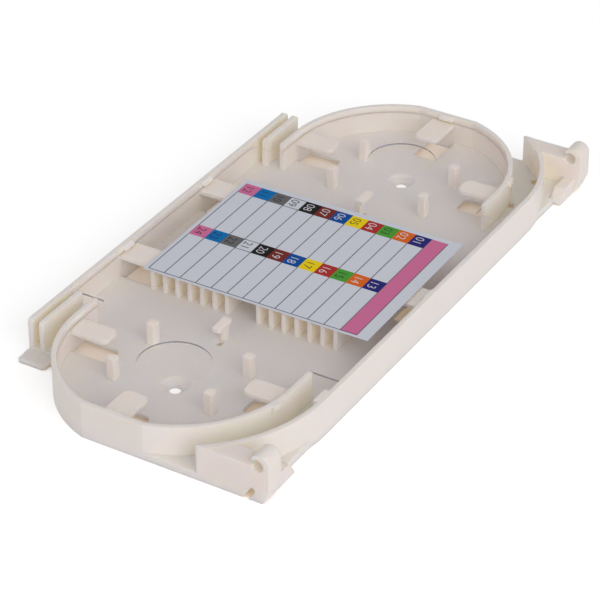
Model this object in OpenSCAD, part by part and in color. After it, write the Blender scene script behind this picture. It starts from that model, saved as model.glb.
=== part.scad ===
// Fibre splice tray: a moulded tray with two round fibre bays, a clear drop-in
// cover and a printed colour card. X runs across the tray, Y along it, Z up.
// The origin is the middle of the tray's underside.

/* [Tray] */
// Length over the two flat ends
tray_len = 178.4; // [170:0.2:190]
// Width over the two side walls
tray_w = 86.2; // [85:0.2:92]
// Height of the walls above the underside
wall_h = 10.8; // [10.6:0.1:14]
// Thickness of the walls
wall_t = 1.4; // [1:0.1:1.8]
// Thickness of the floor
floor_t = 1.2; // [0.8:0.1:2]
// Height of the skirt below the floor
skirt_h = 1; // [0.6:0.1:2]
// Distance from the side wall's outer face to the edge of the corner plates
plate_in = 0.6; // [0.2:0.1:1.5]

/* [Fibre bays] */
// Outer radius of the curved wall round each bay
bay_r = 34; // [32:0.5:35]
// Depth that the flat end takes off the bay's curve
end_cut = 1.3; // [0.6:0.1:3]
// Length of the bay wall's straight legs
bay_leg = 8.8; // [5:0.2:10]

/* [Side channels] */
// Clear width of the narrow channel inside the left wall
slot_w = 2.1; // [1.5:0.1:2.6]
// Length of the left walls beyond the bay's centre
slot_out = 8.6; // [5:0.1:12]
// Length of the channel wall from the bay's centre towards the middle
slot_in = 9.5; // [5:0.1:10]
// Radius of the left walls' top corners
slot_r = 1.2; // [0.4:0.1:2]

/* [Ledges] */
// Height of everything that the cover rests on
rest_h = 8.7; // [7.5:0.05:9]
// Thickness of the tongues
tongue_t = 1.2; // [0.8:0.1:2]
// Corner radius of a tongue's tip
tongue_r = 2; // [1:0.1:2.8]
// Width of the tongues on the sides of a bay
side_tongue_w = 6.7; // [6:0.1:9]
// Length of the tongues on the sides of a bay
side_tongue_len = 11.6; // [8:0.1:12]
// Distance of those tongues beyond the bay's centre
side_tongue_y = 1.6; // [-2:0.1:3]
// Width of the tongue at the flat end of a bay
end_tongue_w = 7.4; // [6:0.1:12]
// Length of the tongue at the flat end of a bay
end_tongue_len = 12; // [8:0.1:14]
// Distance of that tongue to the left of the tray's centre line
end_tongue_in = 0.9; // [0:0.1:3]
// Width of the two tongues on the left wall
left_tongue_w = 8; // [6:0.1:12]
// Length of the two tongues on the left wall
left_tongue_len = 10.4; // [6:0.1:12]
// Distance of those tongues from the tray's middle
left_tongue_y = 20.2; // [16:0.1:26]
// Width of the tongue on the right wall
right_tongue_w = 9; // [6:0.1:14]
// Length of the tongue on the right wall
right_tongue_len = 8.6; // [6:0.1:10]
// Gap between a tongue and the edge of the window below it
window_gap = 0.2; // [0.1:0.05:0.5]

/* [Posts] */
// Side of a guide post
post_w = 2.8; // [2:0.1:3.5]
// Corner radius of a guide post
post_r = 0.5; // [0.3:0.1:0.9]
// Half the distance between two posts across the tray
post_x = 15; // [12:0.5:17]
// Distance of the posts from the bay's centre, along the tray
post_y = 9.4; // [8:0.1:11]
// Shift of all the posts to the left of the tray's centre line
post_shift = 0.6; // [0:0.1:1]

/* [Hook posts] */
// Width of the hook post across the tray
hook_post_w = 1.5; // [1:0.1:2.4]
// Depth of the hook post along the tray
hook_post_d = 2.1; // [1.5:0.1:3]
// Distance of the hook post's back from the bay's centre
hook_y = 21.7; // [20:0.1:24]
// Width of the hook's flat finger
hook_w = 2.5; // [1.6:0.1:3.5]
// Length of the finger, with the post's depth
hook_len = 6.4; // [5:0.1:8]
// Distance of the finger's middle to the right of the post's middle
hook_out = 0.6; // [0:0.1:1]
// Corner radius of the finger's tip
hook_r = 0.6; // [0.3:0.1:0.8]

/* [Splice combs] */
// Distance from one splice slot to the next
slot_pitch = 4; // [3.6:0.1:4.2]
// Thickness of a comb's fins
fin_t = 1.2; // [0.8:0.1:1.6]
// Length of a comb's fins
fin_len = 12.3; // [8:0.1:14]
// Splice slots in one comb
comb_slots = 6; // [3:1:6]
// Distance of the fins' outer ends from the tray's middle
comb_y = 25.3; // [22:0.1:28]
// Left edge of the left comb
left_comb_x = -30.9; // [-34:0.1:-29]
// Left edge of the right comb
right_comb_x = 3; // [1:0.1:6]

/* [Screw hubs] */
// Diameter of the fixing screw's hole
screw_d = 3.4; // [2.5:0.1:4]
// Diameter of the hole's countersink at the floor
sink_d = 8; // [6:0.1:9]
// Depth of the countersink
sink_depth = 1.6; // [1:0.1:1.7]
// Diameter of the hub below the floor
hub_d = 10; // [9.6:0.1:14]
// Distance of the screw's hole beyond the bay's centre
hub_y = 3.9; // [1:0.1:4.5]

/* [Hinge blocks] */
// Depth of a hinge block along the tray
block_d = 5.8; // [5:0.1:8]
// Height of a hinge block
block_h = 10.7; // [9.5:0.1:10.8]
// Extra thickness that the block gives the curved wall on its inner side
block_swell = 0.5; // [0.2:0.1:1]
// Diameter of the pin seat in the top of the block
seat_d = 3.5; // [3:0.1:4]
// Height of the pin seat's axis above the block's top
seat_rise = 0.3; // [0:0.1:0.8]
// Distance of the pin seat's axis inside the side wall's outer face
seat_in = 0.2; // [0:0.05:0.8]
// Width of the snap bar outside the pin seat
bar_w = 1.65; // [1.4:0.05:3]
// Height at which the snap bar starts to taper towards its foot
heel_h = 4.4; // [3.5:0.1:6]
// Depth of that taper
heel_in = 1.4; // [0.8:0.1:2]
// Edge chamfer at the foot of the snap bar
heel_cut = 0.6; // [0.2:0.1:1]
// Height of the lip over the pin seat, above the block
lip_h = 3.5; // [3.3:0.1:4.5]
// Radius of the lip's rounded top
lip_r = 2.8; // [2.4:0.1:3.2]
// Turn of the lip's rounded top from its outer face, in degrees
lip_turn = 150; // [130:5:160]
// Width of the slot under the pin seat
notch_w = 1.6; // [1.2:0.1:2.4]
// Height of the slot's round end
notch_z = 2.9; // [2:0.1:4]
// Distance of the slot's round end inside the pin seat's axis
notch_in = 1.5; // [0.8:0.05:1.8]
// Lean of that slot from the vertical, in degrees
notch_lean = 32; // [15:1:40]
// Length of the snap bar's foot along the tray, beyond the block
foot_len = 8.8; // [6:0.1:10]
// Height of the foot
foot_h = 4.4; // [3:0.1:5]
// Length of the foot's sloping end
foot_nose = 2.7; // [1.5:0.1:4]
// Depth of the step from the snap bar's outer face to the foot's
foot_in = 1.6; // [1:0.1:2]
// Gap between the foot and the floor
foot_gap = 0.4; // [0.3:0.1:0.8]
// Distance that the slot under the pin seat runs on beyond the block
notch_run = 1.4; // [0.5:0.1:3]

/* [End lugs] */
// Width of the lug's head
lug_w = 8.2; // [7:0.1:9]
// Distance of the lug's head inside the left wall's outer face
lug_in = 0.2; // [0:0.1:1]
// Chamfer on the head's inner corner
lug_cut = 0.8; // [0.3:0.1:1.5]
// Width of the strip of floor between the left walls and the lug's head
lug_neck_w = 11.2; // [10.9:0.1:13]
// Length of that strip
lug_neck_len = 2; // [1:0.1:4]
// Length of the lug's head
lug_head_len = 3.3; // [2:0.1:5]
// Thickness of the lug
lug_t = 1.5; // [1:0.1:3]

/* [Cover] */
// Thickness of the clear cover
cover_t = 0.5; // [0.4:0.1:1]
// Gap between the cover and the walls round it
cover_gap = 0.3; // [0.2:0.05:0.6]
// Gap between the cover's wide middle and the bay walls
cover_end_gap = 2.2; // [1:0.1:4]
// Corner radius of the cover's wide middle
cover_r = 1.5; // [0.5:0.1:3]
// Diameter of the cover's finger holes
finger_d = 20; // [16:0.5:24]

/* [Catches and guards] */
// Reach of the catches over the cover
catch_d = 0.9; // [0.6:0.05:1.2]
// Length of the catches
catch_len = 4.5; // [3:0.1:6]
// Gap between the cover and the catches
catch_gap = 0.15; // [0.1:0.05:0.3]
// Thickness of a catch's edge
catch_tip = 0.3; // [0.2:0.1:0.6]
// Reach of the guards on the bay walls
bay_guard_d = 0.8; // [0.5:0.1:1.4]
// Length of the guards on the bay walls
bay_guard_len = 2.8; // [2:0.1:5]
// Height of the guards on the bay walls
bay_guard_h = 1.8; // [1.2:0.1:4]
// Direction of those guards from the X axis, in degrees
bay_guard_turn = 13.5; // [10:0.5:20]
// Reach of the guard on the side wall's near end
side_guard_d = 1.4; // [1:0.1:2]
// Length of that guard
side_guard_len = 5.5; // [4:0.1:8]
// Height of that guard
side_guard_h = 2.8; // [2:0.1:4]
// Distance of that guard from the bay's centre, towards the middle
side_guard_in = 1.3; // [0:0.1:4]
// Width of the openings in the floor beside the walls of the entry channel
guard_hole_w = 1.6; // [1:0.1:3]
// Direction of the opening at the curved outer wall, in degrees
outer_hole_turn = 35; // [30:1:40]

/* [Card] */
// Length of the card across the tray
card_w = 70; // [68:0.5:72]
// Depth of the card along the tray
card_d = 54.6; // [54:0.2:60]
// Thickness of the card
card_t = 0.15; // [0.1:0.05:0.3]
// Thickness of the printed ink
ink_t = 0.03; // [0.02:0.01:0.06]
// Turn of the card on the cover, in degrees
card_turn = 0.7; // [0:0.1:2]
// Width of one column
column_w = 5; // [4:0.1:5.1]
// Depth of the coloured fields
field_d = 5.4; // [4:0.1:7]
// Depth of the whole printed table
table_d = 51.8; // [48:0.2:52]
// Width of the printed lines
line_w = 0.25; // [0.15:0.05:0.4]

/* [Hidden] */
$fn = 96;

// Half of the tray's length and width
end_y = tray_len / 2;
side_x = tray_w / 2;
// Centre of the far bay
bay_y = end_y - bay_r + end_cut;
// Outer ends of the left walls
slot_end_y = bay_y + slot_out;
// Left face of the wall between the two left channels
channel_x = -side_x + wall_t + slot_w;
// Underside of the catches
catch_z = rest_h + cover_t + catch_gap;
// Top of the floor
floor_top = skirt_h + floor_t;
// Depth that one solid is sunk in another where they are one moulding
root = 0.6;
// Right end of the hinge block's body and axis of its pin seat
seat_x = side_x - seat_in;
seat_z = block_h + seat_rise;
bar_x = seat_x + seat_d / 2 + bar_w;
// Inner face of the hinge block, and axis of the round end of the slot under the pin seat
block_y = end_y - block_d;
notch_x = seat_x - notch_in;
// Colours of the code, one column each, and the column whose colour is white
colours = 12;
white_column = 3;
// The table has one more column for the plain band
table_w = (colours + 1) * column_w;
// Middle of the card on the cover, and of the table on the card
card_x = 2.5;
card_y = 0.7;
table_x = -1.2;
table_y = -0.5;

// Draws its children at both ends of the tray
module ends() {
    children();
    mirror([0, 1, 0])
        children();
}

// A rectangle with its low corner at the origin and its two far corners rounded
module tip_2d(w, len, r) {
    translate([0, -w / 2])
        square([len - r, w]);
    translate([0, -w / 2 + r])
        square([len, w - 2 * r]);
    for (side = [-1, 1])
        translate([len - r, side * (w / 2 - r)])
            circle(r);
}

// A rectangle centred on the origin with four rounded corners
module round_2d(w, d, r) {
    square([w, d - 2 * r], center = true);
    square([w - 2 * r, d], center = true);
    for (sx = [-1, 1], sy = [-1, 1])
        translate([sx * (w / 2 - r), sy * (d / 2 - r)])
            circle(r);
}

// Outline of the far bay, moved in by inset: straight sides, a round end cut flat
module bay_2d(inset) {
    intersection() {
        union() {
            translate([0, bay_y])
                circle(bay_r - inset);
            translate([-bay_r + inset, 0])
                square([2 * (bay_r - inset), bay_y]);
        }
        translate([-side_x, 0])
            square([2 * side_x, end_y - inset]);
    }
}

// Outline of the tray's right side at the far end, moved in by inset
module right_2d(inset) {
    intersection() {
        union() {
            translate([0, bay_y])
                circle(side_x - inset);
            square([side_x - inset, bay_y]);
        }
        square([side_x, end_y - inset]);
    }
}

module lug_2d() {
    translate([-side_x, slot_end_y - root])
        square([lug_neck_w, lug_neck_len + 2 * root]);
    translate([-side_x + lug_in, slot_end_y + lug_neck_len])
        polygon([
            [0, 0], [lug_w, 0], [lug_w, lug_head_len - lug_cut], [lug_w - lug_cut, lug_head_len],
            [0, lug_head_len]
        ]);
}

// Outline of the whole floor, moved in by inset
module floor_2d(inset) {
    ends() {
        translate([-side_x + inset, 0])
            square([side_x, slot_end_y - inset]);
        bay_2d(inset);
        right_2d(inset);
        translate([0, bay_y])
            square([side_x - plate_in - inset, end_y - bay_y - inset]);
    }
}

// The curved wall round the far bay, with its legs
module bay_wall_2d() {
    intersection() {
        difference() {
            bay_2d(0);
            bay_2d(wall_t);
        }
        translate([-side_x, bay_y - bay_leg])
            square([2 * side_x, tray_len]);
    }
}

module right_wall_2d() {
    difference() {
        right_2d(0);
        translate([-1, -1])
            square([1 + side_x - wall_t, 1 + bay_y]);
        translate([0, bay_y])
            circle(side_x - wall_t);
    }
}

// Plans of the left wall and of the shorter wall that makes the narrow channel with it
module left_walls_2d() {
    translate([-side_x, 0])
        square([wall_t, slot_end_y]);
    translate([channel_x, bay_y - slot_in])
        square([wall_t, slot_in + slot_out]);
}

// Side view of the left walls, with a rounded top corner at the outer end: Y across, Z up
module left_side_2d() {
    square([slot_end_y, wall_h - slot_r]);
    square([slot_end_y - slot_r, wall_h]);
    translate([slot_end_y - slot_r, wall_h - slot_r])
        circle(slot_r);
}

module left_walls() {
    intersection() {
        linear_extrude(wall_h)
            left_walls_2d();
        translate([-side_x, 0, 0])
            rotate([90, 0, 90])
                linear_extrude(side_x)
                    left_side_2d();
    }
}

// Plans of the tongues, each grown by gap all round
module bay_tongues_2d(gap) {
    for (side = [0, 1])
        mirror([side, 0])
            translate([bay_r - wall_t / 2, bay_y + side_tongue_y])
                rotate(180)
                    tip_2d(side_tongue_w + 2 * gap, side_tongue_len + wall_t / 2 + gap, tongue_r);
    translate([-end_tongue_in, end_y - wall_t / 2])
        rotate(-90)
            tip_2d(end_tongue_w + 2 * gap, end_tongue_len + wall_t / 2 + gap, tongue_r);
}

module side_tongues_2d(gap) {
    ends()
        translate([-side_x + wall_t / 2, left_tongue_y])
            tip_2d(left_tongue_w + 2 * gap, left_tongue_len + wall_t / 2 + gap, tongue_r);
    translate([side_x - wall_t / 2, 0])
        rotate(180)
            tip_2d(right_tongue_w + 2 * gap, right_tongue_len + wall_t / 2 + gap, tongue_r);
}

module tongues_2d(gap) {
    ends()
        bay_tongues_2d(gap);
    side_tongues_2d(gap);
}

module posts_2d() {
    for (sx = [-1, 1], sy = [-1, 1])
        translate([sx * post_x - post_shift, bay_y + sy * post_y])
            round_2d(post_w, post_w, post_r);
    translate([-hook_post_w / 2 - hook_out / 2, bay_y - hook_y])
        square([hook_post_w, hook_post_d]);
}

// Plan of the hook's finger, which reaches over the fibre towards the bay's centre
module hook_2d() {
    translate([hook_out / 2, bay_y - hook_y + hook_len / 2])
        round_2d(hook_w, hook_len, hook_r);
}

// Plan of the opening in the floor under the finger
module hook_hole_2d() {
    translate([-hook_post_w / 2 - hook_out / 2, bay_y - hook_y + hook_post_d + window_gap])
        square([hook_post_w, (hook_len - hook_post_d) / 2]);
}

// One row of fins, with its left edge at the origin
module comb_2d() {
    for (i = [0 : comb_slots])
        translate([i * slot_pitch, 0])
            square([fin_t, fin_len]);
}

// A catch on a wall whose inner face passes through the origin, facing +X
module catch() {
    rotate([90, 0, 0])
        linear_extrude(catch_len, center = true)
            polygon([
                [-root, catch_z], [catch_d, catch_z], [catch_d, catch_z + catch_tip],
                [catch_tip, wall_h], [-root, wall_h]
            ]);
}

module catches() {
    ends() {
        translate([0, end_y - wall_t])
            rotate(-90)
                catch();
        translate([-side_x + wall_t, left_tongue_y])
            catch();
    }
    translate([side_x - wall_t, 0])
        rotate(180)
            catch();
}

// Places its children at the foot of a guard or beside a wall of the entry channel: the
// outer face of the bay wall, the curved outer wall, the side wall's near end
module at_bay_guard() {
    translate([0, bay_y])
        rotate(bay_guard_turn)
            translate([bay_r, 0])
                children();
}

module at_outer_wall() {
    translate([0, bay_y])
        rotate(outer_hole_turn)
            translate([side_x - wall_t, 0])
                rotate(180)
                    children();
}

module at_side_guard() {
    translate([side_x - wall_t, side_guard_in - bay_y])
        rotate(180)
            children();
}

// Plan of a guard or of the hole under it, from a little inside the wall out to d
module guard_2d(d, len) {
    translate([-root, -len / 2])
        square([root + d, len]);
}

// Small blocks at the top of the walls that keep the tubes down in the entry channel
module guards() {
    translate([0, 0, wall_h - bay_guard_h])
        linear_extrude(bay_guard_h)
            ends()
                at_bay_guard()
                    guard_2d(bay_guard_d, bay_guard_len);
    translate([0, 0, wall_h - side_guard_h])
        linear_extrude(side_guard_h)
            at_side_guard()
                guard_2d(side_guard_d, side_guard_len);
}

module guard_holes_2d() {
    ends() {
        at_bay_guard()
            guard_2d(guard_hole_w, bay_guard_len);
        at_outer_wall()
            guard_2d(guard_hole_w, bay_guard_len);
    }
    at_side_guard()
        guard_2d(guard_hole_w, side_guard_len);
}

// The body of a far hinge block, between the curved wall and the pin seat
module block_body() {
    difference() {
        translate([0, block_y, 0])
            cube([seat_x - seat_d / 2, block_d, block_h]);
        translate([0, bay_y, -1])
            cylinder(block_h + 2, r = side_x - wall_t - block_swell);
    }
}

// Side view of the slot under the pin seat: X across, Y up
module notch_2d() {
    translate([notch_x, notch_z]) {
        circle(d = notch_w);
        rotate(-notch_lean)
            translate([-notch_w / 2, -2 * notch_z])
                square([notch_w, 2 * notch_z]);
    }
}

// Side view of the snap bar with its lip, before the pin seat is cut: X across, Y up
module clip_outline_2d() {
    back_x = seat_x - seat_d / 2 - root;
    lip_z = block_h + lip_h - lip_r;
    polygon(concat(
        [
            [back_x, 0], [bar_x - heel_in - heel_cut, 0], [bar_x - heel_in, heel_cut],
            [bar_x, heel_h]
        ],
        [for (a = [0 : 10 : lip_turn]) [bar_x - lip_r + lip_r * cos(a), lip_z + lip_r * sin(a)]],
        [[seat_x, seat_z], [seat_x - seat_d / 2, block_h], [back_x, block_h]]
    ));
}

module clip_2d() {
    difference() {
        clip_outline_2d();
        translate([seat_x, seat_z])
            circle(d = seat_d);
    }
}

module clip() {
    translate([0, end_y, 0])
        rotate([90, 0, 0])
            linear_extrude(block_d)
                clip_2d();
}

// The foot: the lower part of the snap bar, carried on along the tray
module foot() {
    tip_y = block_y - foot_len;
    intersection() {
        translate([0, block_y + root, 0])
            rotate([90, 0, 0])
                linear_extrude(foot_len + root)
                    intersection() {
                        clip_outline_2d();
                        translate([notch_x, 0])
                            square([bar_x - foot_in - notch_x, foot_h]);
                    }
        rotate([90, 0, 90])
            linear_extrude(bar_x)
                polygon([
                    [block_y + root, 0], [block_y + root, foot_h], [tip_y + foot_nose, foot_h],
                    [tip_y + foot_nose / 4, foot_h / 2], [tip_y, heel_cut],
                    [tip_y + heel_cut / 2, 0]
                ]);
    }
}

// The slot through the block, and the narrow one that parts the foot from the floor
module foot_slot() {
    slit_x = notch_x - foot_gap;
    slit_y = block_y - foot_len - foot_gap;
    translate([0, end_y + 1, 0])
        rotate([90, 0, 0])
            linear_extrude(1 + block_d + notch_run)
                notch_2d();
    translate([slit_x, slit_y, -1])
        cube([foot_gap, foot_len + foot_gap, foot_h]);
    translate([slit_x, slit_y, -1])
        cube([bar_x - slit_x, foot_gap, foot_h]);
}

module hinge_block() {
    block_body();
    clip();
}

// The floor plate and the skirt that runs round below it
module tray_floor() {
    translate([0, 0, skirt_h])
        linear_extrude(floor_t)
            floor_2d(0);
    linear_extrude(skirt_h + floor_t / 2)
        difference() {
            floor_2d(0);
            floor_2d(wall_t);
        }
    ends()
        translate([0, bay_y + hub_y, 0])
            cylinder(floor_top, d = hub_d);
}

// Everything that stands on the floor
module uprights() {
    translate([0, 0, skirt_h])
        linear_extrude(wall_h - skirt_h) {
            bay_wall_2d();
            right_wall_2d();
        }
    left_walls();
    translate([0, 0, skirt_h])
        linear_extrude(rest_h - skirt_h) {
            posts_2d();
            translate([left_comb_x, comb_y - fin_len])
                comb_2d();
            translate([right_comb_x, comb_y - fin_len])
                comb_2d();
        }
    translate([0, 0, rest_h - tongue_t])
        linear_extrude(tongue_t)
            hook_2d();
    hinge_block();
}

// The openings that the mould's cores leave in the floor under each tongue and hook
module mould_windows_2d() {
    difference() {
        union() {
            tongues_2d(window_gap);
            ends()
                hook_hole_2d();
            guard_holes_2d();
        }
        ends() {
            bay_wall_2d();
            right_wall_2d();
            left_walls_2d();
        }
    }
}

// A screw's hole with its countersink, standing on the origin
module screw_hole() {
    translate([0, 0, -1])
        cylinder(floor_top + 2, d = screw_d);
    translate([0, 0, floor_top - sink_depth])
        cylinder(sink_depth, d1 = screw_d, d2 = sink_d);
}

module tray() {
    color("ivory")
        difference() {
            union() {
                tray_floor();
                linear_extrude(lug_t)
                    ends()
                        lug_2d();
                ends() {
                    uprights();
                    foot();
                }
                translate([0, 0, rest_h - tongue_t])
                    linear_extrude(tongue_t)
                        tongues_2d(0);
                catches();
                guards();
            }
            ends()
                foot_slot();
            translate([0, 0, -1])
                linear_extrude(floor_top + 1)
                    mould_windows_2d();
            ends()
                translate([0, bay_y + hub_y, 0])
                    screw_hole();
        }
}

// The clear cover: a wide middle between the side walls and a tongue into each bay
module cover() {
    color("lightcyan", 0.4)
        translate([0, 0, rest_h])
            linear_extrude(cover_t)
                difference() {
                    union() {
                        ends()
                            bay_2d(wall_t + cover_gap);
                        half_d = bay_y - bay_leg - cover_end_gap;
                        half_w = side_x - wall_t - cover_gap;
                        round_2d(2 * half_w, 2 * half_d, cover_r);
                    }
                    ends()
                        translate([0, bay_y + hub_y])
                            circle(d = finger_d);
                }
}

// Puts its children on the card, lifted by z above the cover
module on_cover(z) {
    translate([card_x, card_y, rest_h + cover_t + z])
        rotate(card_turn)
            children();
}

module card() {
    color("whitesmoke")
        on_cover(0)
            linear_extrude(card_t)
                square([card_w, card_d], center = true);
}

// Left edge of a table column, counted from the left, and far edge of a row's fields
function column_x(i) = table_x - table_w / 2 + i * column_w;
function field_y(row) = table_y + (row - 1) * table_d / 2 + table_d / 2;

// Plan of one column's two colour fields
module fields_2d(i) {
    for (row = [0, 1])
        translate([column_x(i), field_y(row) - field_d])
            square([column_w, field_d]);
}

// Plan of the plain band in the last column
module band_2d() {
    translate([column_x(colours) + line_w / 2, table_y - table_d / 2])
        square([column_w - line_w, table_d]);
}

// Plan of the printed lines: one at each side of every column, one along the near
// edge, and one above and one below each field that is left white
module lines_2d() {
    for (i = [0 : colours + 1])
        translate([column_x(i) - line_w / 2, table_y - table_d / 2])
            square([line_w, table_d]);
    translate([column_x(0), table_y - table_d / 2 - line_w / 2])
        square([column_w * (colours + 1), line_w]);
    for (row = [0, 1], edge = [0, field_d - line_w])
        translate([column_x(white_column), field_y(row) - field_d + edge])
            square([column_w, line_w]);
}

// One printing of ink on the card
module ink(tint) {
    color(tint)
        on_cover(card_t)
            linear_extrude(ink_t)
                children();
}

module ink_lines() {
    ink("dimgray")
        difference() {
            lines_2d();
            for (i = [0 : colours - 1])
                if (i != white_column)
                    fields_2d(i);
        }
}

module ink_pink() {
    ink("palevioletred") {
        fields_2d(0);
        band_2d();
    }
}

module ink_light_blue() ink("deepskyblue") fields_2d(1);
module ink_grey() ink("gray") fields_2d(2);
module ink_black() ink("black") fields_2d(4);
module ink_brown() ink("saddlebrown") fields_2d(5);
module ink_blue() ink("mediumblue") fields_2d(6);
module ink_yellow() ink("gold") fields_2d(7);
module ink_red() ink("firebrick") fields_2d(8);
module ink_green() ink("forestgreen") fields_2d(9);
module ink_orange() ink("darkorange") fields_2d(10);
module ink_navy() ink("midnightblue") fields_2d(11);

tray();
cover();
card();
ink_lines();
ink_pink();
ink_light_blue();
ink_grey();
ink_black();
ink_brown();
ink_blue();
ink_yellow();
ink_red();
ink_green();
ink_orange();
ink_navy();
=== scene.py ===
"""Fibre splice tray in natural ABS, with a clear cover sheet and a printed colour card."""
import math

import bpy
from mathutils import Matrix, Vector


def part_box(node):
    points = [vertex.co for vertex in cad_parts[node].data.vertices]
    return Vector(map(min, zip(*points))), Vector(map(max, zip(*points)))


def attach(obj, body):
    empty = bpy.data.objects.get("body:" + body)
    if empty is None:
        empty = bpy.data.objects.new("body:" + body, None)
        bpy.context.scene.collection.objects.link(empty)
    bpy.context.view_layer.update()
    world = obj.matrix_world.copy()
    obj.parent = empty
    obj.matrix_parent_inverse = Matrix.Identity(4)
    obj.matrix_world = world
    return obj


MM = 0.001
# The smallest round on the moulding's edges, too fine for the solids
EDGE_ROUND = 0.25 * MM
# How far round a corner counts as sheltered, for the painted warm tint in corners and for the painted
# glow that stands in for light seeping through the plastic
PAINTED_TINT_REACH = 12 * MM
PAINTED_GLOW_REACH = 10 * MM
# How far the table looks up for what stands over it, for its painted shade and warm glow under the tray
TABLE_REACH = 30 * MM

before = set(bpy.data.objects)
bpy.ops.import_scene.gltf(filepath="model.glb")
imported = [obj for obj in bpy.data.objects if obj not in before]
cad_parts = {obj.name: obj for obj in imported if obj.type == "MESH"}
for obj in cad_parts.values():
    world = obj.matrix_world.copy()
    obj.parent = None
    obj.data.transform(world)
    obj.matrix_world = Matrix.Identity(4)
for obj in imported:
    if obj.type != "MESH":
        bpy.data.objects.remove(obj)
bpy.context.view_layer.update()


# ---------------------------------------------------------------- small helpers

def linear(hex_code):
    """An sRGB hex colour as a linear RGBA tuple."""
    parts = [int(hex_code[i:i + 2], 16) / 255 for i in (1, 3, 5)]
    return tuple(c / 12.92 if c <= 0.04045 else ((c + 0.055) / 1.055) ** 2.4 for c in parts) + (1,)


def add(tree, kind, values=None, links=None, **settings):
    """Adds a node with its settings, its socket values and the sockets that feed it."""
    node = tree.nodes.new(kind)
    for name, value in settings.items():
        setattr(node, name, value)
    for socket, value in (values or {}).items():
        node.inputs[socket].default_value = value
    for socket, source in (links or {}).items():
        tree.links.new(source, node.inputs[socket])
    return node


def new_material(name):
    """An empty node material and its tree."""
    material = bpy.data.materials.new(name)
    material.use_nodes = True
    material.node_tree.nodes.clear()
    return material, material.node_tree


def finish_surface(tree, shader):
    add(tree, "ShaderNodeOutputMaterial", links={"Surface": shader.outputs[0]})


# ---------------------------------------------------------------- materials

def natural_abs():
    """Unpigmented ABS, injection moulded: ivory, slightly translucent, with a fine satin texture.

    Light that has passed through the plastic comes out warm, and it is painted in here: corners get a
    painted warm tint in the base colour, and places that are nearly closed in give off a faint painted
    glow.
    """
    material, tree = new_material("natural_abs_moulded")
    place = add(tree, "ShaderNodeTexCoord")
    flow = add(tree, "ShaderNodeTexNoise", {"Scale": 28, "Detail": 3, "Roughness": 0.5},
               {"Vector": place.outputs["Object"]})
    # Painted warm tint: the base colour turns warmer in corners and hollows, standing in for light that
    # has come through the plastic
    corner = add(tree, "ShaderNodeAmbientOcclusion", {"Distance": PAINTED_TINT_REACH},
                 samples=8, only_local=True)
    painted_warmth_mask = add(tree, "ShaderNodeMapRange",
                {"From Min": 0.1, "From Max": 0.8, "To Min": 1.0, "To Max": 0.0},
                {"Value": corner.outputs["AO"]})
    body = add(tree, "ShaderNodeMix", {"A": linear("#f5eae6"), "B": linear("#f1e6e1")},
               {"Factor": flow.outputs["Fac"]}, data_type="RGBA")
    painted_warm_corners = add(tree, "ShaderNodeMix", {"B": linear("#f6f1e6")},
                 {"Factor": painted_warmth_mask.outputs["Result"], "A": body.outputs["Result"]}, data_type="RGBA")
    # Painted glow: nearly closed-in places give off a faint warm emission of their own, standing in for
    # light seeping through the walls; it is no lamp
    shaded = add(tree, "ShaderNodeAmbientOcclusion", {"Distance": PAINTED_GLOW_REACH}, samples=8)
    painted_seep_glow = add(tree, "ShaderNodeMapRange",
                  {"From Min": 0.38, "From Max": 0.0, "To Min": 0.0, "To Max": 0.07},
                  {"Value": shaded.outputs["AO"]})
    grain = add(tree, "ShaderNodeTexNoise", {"Scale": 2200, "Detail": 2},
                {"Vector": place.outputs["Object"]})
    rounded = add(tree, "ShaderNodeBevel", {"Radius": EDGE_ROUND}, samples=6)
    bump = add(tree, "ShaderNodeBump", {"Strength": 0.05, "Distance": 0.05 * MM},
               {"Height": grain.outputs["Fac"], "Normal": rounded.outputs["Normal"]})
    shader = add(tree, "ShaderNodeBsdfPrincipled",
                 {"Roughness": 0.42, "IOR": 1.53, "Subsurface Weight": 0.6,
                  "Subsurface Radius": (1.0, 0.72, 0.42), "Subsurface Scale": 3 * MM,
                  "Emission Color": linear("#ffd692")},
                 {"Base Color": painted_warm_corners.outputs["Result"], "Normal": bump.outputs["Normal"],
                  "Emission Strength": painted_seep_glow.outputs["Result"]})
    finish_surface(tree, shader)
    return material


def clear_sheet():
    """Die-cut clear polycarbonate: nearly invisible face on, with a faint pale film on the faces as a
    painted reflection, grey as painted shade where a cut edge is seen from outside, and not seen at all
    from within the sheet."""
    material, tree = new_material("clear_polycarbonate_sheet")
    geometry = add(tree, "ShaderNodeNewGeometry")
    axes = add(tree, "ShaderNodeSeparateXYZ", links={"Vector": geometry.outputs["True Normal"]})
    upright = add(tree, "ShaderNodeMath", links={0: axes.outputs["Z"]}, operation="ABSOLUTE")
    # Painted shade and reflection: cut edges are made nearly opaque and grey, faces get a faint pale
    # film that also dims what lies under the sheet
    painted_opacity = add(tree, "ShaderNodeMapRange", {"To Min": 0.7, "To Max": 0.13},
                  {"Value": upright.outputs["Value"]})
    tone = add(tree, "ShaderNodeMix", {"A": linear("#747888"), "B": linear("#e6e2ea")},
               {"Factor": upright.outputs["Value"]}, data_type="RGBA")
    skin = add(tree, "ShaderNodeBsdfPrincipled", {"Roughness": 0.2, "IOR": 1.585},
               {"Base Color": tone.outputs["Result"], "Alpha": painted_opacity.outputs["Result"]})
    clear = add(tree, "ShaderNodeBsdfTransparent", {"Color": (1, 1, 1, 1)})
    shader = add(tree, "ShaderNodeMixShader",
                 links={0: geometry.outputs["Backfacing"], 1: skin.outputs["BSDF"],
                        2: clear.outputs["BSDF"]})
    finish_surface(tree, shader)
    return material


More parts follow.
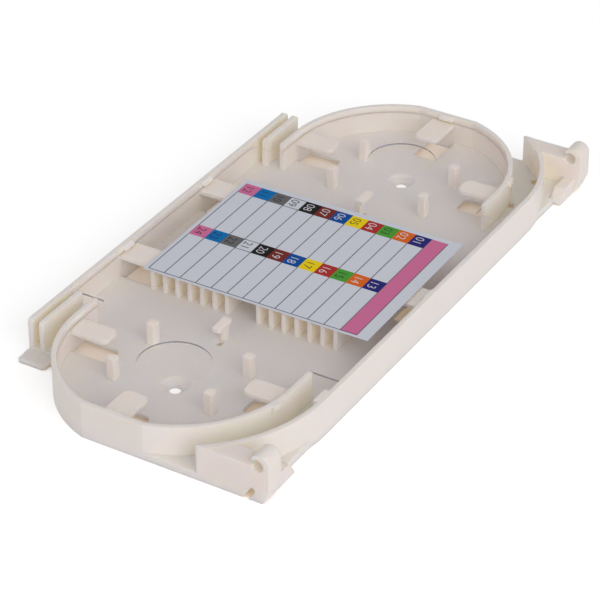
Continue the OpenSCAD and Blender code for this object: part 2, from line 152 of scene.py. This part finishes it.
def printed_paper(name, hex_code, roughness, gloss):
    """Coated label paper or the ink on it: flat colour with a faint unevenness, and hardly any gloss."""
    material, tree = new_material(name)
    place = add(tree, "ShaderNodeTexCoord")
    fibre = add(tree, "ShaderNodeTexNoise", {"Scale": 900, "Detail": 3},
                {"Vector": place.outputs["Object"]})
    tone = add(tree, "ShaderNodeMapRange", {"To Min": 0.97, "To Max": 1.03},
               {"Value": fibre.outputs["Fac"]})
    colour = add(tree, "ShaderNodeHueSaturation", {"Color": linear(hex_code)},
                 {"Value": tone.outputs["Result"]})
    shader = add(tree, "ShaderNodeBsdfPrincipled",
                 {"Roughness": roughness, "IOR": 1.5, "Specular IOR Level": gloss},
                 {"Base Color": colour.outputs["Color"]})
    finish_surface(tree, shader)
    return material


def dress(node, material):
    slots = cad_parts[node].data.materials
    slots.clear()
    slots.append(material)


INKS = {
    "ink_lines": "#6a6a70", "ink_pink": "#d573a0", "ink_light_blue": "#0a72b8",
    "ink_grey": "#6b6b6d", "ink_black": "#221f20", "ink_brown": "#7a2f2a",
    "ink_blue": "#0a4f9e", "ink_yellow": "#f2d51a", "ink_red": "#b23430",
    "ink_green": "#4fa03b", "ink_orange": "#e06a22", "ink_navy": "#2b2a78",
}

dress("tray", natural_abs())
dress("cover", clear_sheet())
dress("card", printed_paper("coated_label_paper", "#d7dae5", 0.55, 0.15))
for ink, hex_code in INKS.items():
    dress(ink, printed_paper("printed_" + ink, hex_code, 0.5, 0.05))


# ---------------------------------------------------------------- numerals on the card

FIELD_INKS = ["ink_pink", "ink_light_blue", "ink_grey", None, "ink_black", "ink_brown", "ink_blue",
              "ink_yellow", "ink_red", "ink_green", "ink_orange", "ink_navy"]
LIGHT_ON = {"ink_black", "ink_brown", "ink_blue", "ink_red", "ink_orange", "ink_navy"}
COLUMNS = len(FIELD_INKS)
FIELD_DEPTH = 5.4 * MM
NUMERAL_HEIGHT = 2.6 * MM
NUMERAL_DEPTH = 0.01 * MM
# What a stroke loses on each side, and where the number sits off its field's middle
NUMERAL_THINNING = 0.05 * MM
NUMERAL_OFF_X = -0.6 * MM
NUMERAL_OFF_Y = 0.1 * MM
# Height of a digit as a share of the font's size
DIGIT_SHARE = 0.7


def field_centres():
    """The middle of each coloured field, from the boxes of the printed inks."""
    navy_low, navy_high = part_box("ink_navy")
    blue_low, blue_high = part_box("ink_light_blue")
    step = ((navy_low + navy_high) / 2 - (blue_low + blue_high) / 2) / (COLUMNS - 2)
    middle = (blue_low + blue_high) / 2 - step
    turn = math.atan2(step.y, step.x)
    half = (blue_high.y - blue_low.y - FIELD_DEPTH) / 2 / math.cos(turn)
    up = Vector((-math.sin(turn), math.cos(turn), 0))
    top = navy_high.z
    for row, side in enumerate((1, -1)):
        for column in range(COLUMNS):
            spot = middle + column * step + side * half * up
            number = row * COLUMNS + COLUMNS - column
            yield number, FIELD_INKS[column], Vector((spot.x, spot.y, top)), turn


def numeral(number, spot, turn):
    """A two-digit number as a thin solid, read along -Y with its feet towards -X."""
    bpy.ops.object.text_add(location=(0, 0, 0))
    text = bpy.context.object
    text.data.body = "%02d" % number
    text.data.align_x = "CENTER"
    text.data.align_y = "CENTER"
    text.data.size = NUMERAL_HEIGHT / DIGIT_SHARE
    text.data.extrude = NUMERAL_DEPTH / 2
    text.data.offset = -NUMERAL_THINNING
    bpy.ops.object.convert(target="MESH")
    bpy.ops.object.select_all(action="DESELECT")
    text.select_set(True)
    text.rotation_euler = (0, 0, turn - math.pi / 2)
    text.location = spot + Vector((NUMERAL_OFF_X, NUMERAL_OFF_Y, NUMERAL_DEPTH / 2))
    bpy.ops.object.transform_apply(location=True, rotation=True, scale=True)
    return text


def print_numerals(name, wanted, material):
    """Prints the numbers whose field's ink passes the test, as one piece."""
    bpy.ops.object.select_all(action="DESELECT")
    printed = [numeral(number, spot, turn)
               for number, ink, spot, turn in field_centres() if wanted(ink)]
    for piece in printed:
        piece.select_set(True)
    bpy.context.view_layer.objects.active = printed[0]
    bpy.ops.object.join()
    piece = bpy.context.object
    piece.name = name
    piece.data.materials.clear()
    piece.data.materials.append(material)
    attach(piece, "root")
    return piece


print_numerals("numerals_light", lambda ink: ink in LIGHT_ON,
               printed_paper("printed_white_numerals", "#e2e0e8", 0.5, 0.05))
print_numerals("numerals_dark", lambda ink: ink not in LIGHT_ON,
               printed_paper("printed_black_numerals", "#2a2630", 0.5, 0.05))


# ---------------------------------------------------------------- studio

def studio_floor():
    """A white table that keeps the tray's soft shadow, and looks tan through the tray's openings.

    The glow is what the camera sees, straight or mirrored, and it lights nothing. Where the tray stands
    over
    the table the glow falls to a dark tan: painted shade, warmed as painted light come through the
    plastic.
    """
    just_below = -0.02 * MM
    bpy.ops.mesh.primitive_plane_add(size=6, location=(0, 0, just_below))
    floor = bpy.context.object
    floor.name = "studio_floor"
    material, tree = new_material("white_table_top")
    path = add(tree, "ShaderNodeLightPath")
    seen_or_mirrored = add(tree, "ShaderNodeMath", operation="MAXIMUM",
                           links={0: path.outputs["Is Camera Ray"],
                                  1: path.outputs["Is Glossy Ray"]})
    seen = add(tree, "ShaderNodeMath", operation="MAXIMUM",
               links={0: seen_or_mirrored.outputs["Value"],
                      1: path.outputs["Is Transmission Ray"]})
    lit = add(tree, "ShaderNodeBsdfDiffuse", {"Color": linear("#e6e6e6")})
    # Painted shade and warm light: under and close to the tray the glow darkens to tan, standing in for
    # the tray's shade and the warm light through its plastic
    shelter = add(tree, "ShaderNodeAmbientOcclusion", {"Distance": TABLE_REACH}, samples=16)
    open_sky = add(tree, "ShaderNodeMapRange", {"From Min": 0.15, "From Max": 0.5},
                   {"Value": shelter.outputs["AO"]})
    tone = add(tree, "ShaderNodeMix", {"A": linear("#806a4e"), "B": linear("#b8b8b8")},
               {"Factor": open_sky.outputs["Result"]}, data_type="RGBA")
    glow = add(tree, "ShaderNodeEmission", {"Strength": 1.0}, {"Color": tone.outputs["Result"]})
    bright = add(tree, "ShaderNodeAddShader",
                 links={0: lit.outputs["BSDF"], 1: glow.outputs["Emission"]})
    mixed = add(tree, "ShaderNodeMixShader",
                links={0: seen.outputs["Value"], 1: lit.outputs["BSDF"],
                       2: bright.outputs["Shader"]})
    finish_surface(tree, mixed)
    floor.data.materials.append(material)


def soft_box(name, spot, size, power):
    """A square lamp that looks at the tray."""
    light = bpy.data.lights.new(name, "AREA")
    light.shape = "SQUARE"
    light.size = size
    light.energy = power
    lamp = bpy.data.objects.new(name, light)
    bpy.context.scene.collection.objects.link(lamp)
    lamp.location = spot
    lamp.rotation_euler = (-Vector(spot)).to_track_quat("-Z", "Y").to_euler()


def white_room():
    """A plain world at half strength on the tray, and white where the camera sees it."""
    world = bpy.data.worlds.new("white_room")
    bpy.context.scene.world = world
    world.use_nodes = True
    tree = world.node_tree
    tree.nodes.clear()
    path = add(tree, "ShaderNodeLightPath")
    strength = add(tree, "ShaderNodeMapRange", {"To Min": 0.52, "To Max": 1.0},
                   {"Value": path.outputs["Is Camera Ray"]})
    glow = add(tree, "ShaderNodeBackground", {"Color": (1, 1, 1, 1)},
               {"Strength": strength.outputs["Result"]})
    add(tree, "ShaderNodeOutputWorld", links={"Surface": glow.outputs["Background"]})


def camera():
    """A long lens that looks down on the tray's near right corner."""
    azimuth, elevation = math.radians(30.967), math.radians(33.363)
    distance = 714.26 * MM
    aim = Vector((5.455, -6.439, 0)) * MM
    back = Vector((math.sin(azimuth) * math.cos(elevation), -math.cos(azimuth) * math.cos(elevation),
                   math.sin(elevation)))
    data = bpy.data.cameras.new("camera")
    data.sensor_width = 36
    data.lens = 156.36
    data.clip_end = 20
    view = bpy.data.objects.new("camera", data)
    bpy.context.scene.collection.objects.link(view)
    view.location = aim + distance * back
    view.rotation_euler = (-back).to_track_quat("-Z", "Y").to_euler()
    bpy.context.scene.camera = view


studio_floor()
soft_box("key_from_right", (1.35, -0.75, 0.8), 1.2, 12)
soft_box("fill_from_front", (0, -1.5, 0.7), 1.0, 1.8)
white_room()
camera()
bpy.context.scene.view_settings.view_transform = "Standard"
